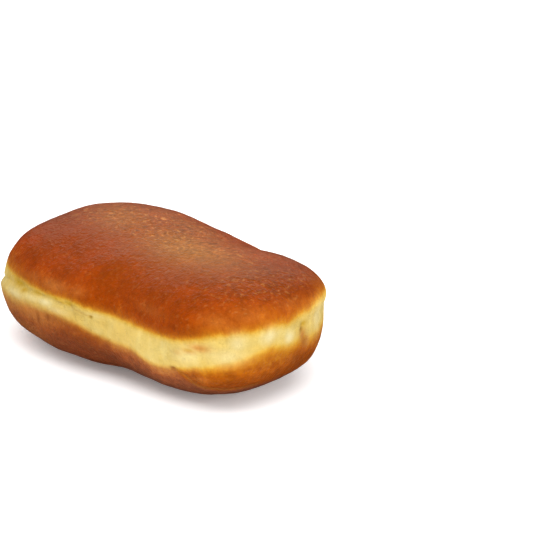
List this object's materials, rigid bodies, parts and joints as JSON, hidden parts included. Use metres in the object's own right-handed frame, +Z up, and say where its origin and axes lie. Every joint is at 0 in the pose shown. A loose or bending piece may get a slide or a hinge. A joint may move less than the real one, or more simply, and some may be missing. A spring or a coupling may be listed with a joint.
{
  "type": "bar doughnut",
  "caption": "Plain bar doughnut, a soft fried pillow of yeast dough with a brown crust above and below and a pale band round its middle.",
  "frame": {"origin": "on the surface the doughnut rests on, under the middle of its box", "axes": "+X along the doughnut towards its wider banded end, +Y across it away from the side with the waist, +Z up out of the crown"},
  "size_m": [0.117, 0.0786, 0.0397],
  "materials": {
    "crust": "satin"
  },
  "bodies": {
    "root": {"doughnut": "crust"}
  },
  "joints": []
}
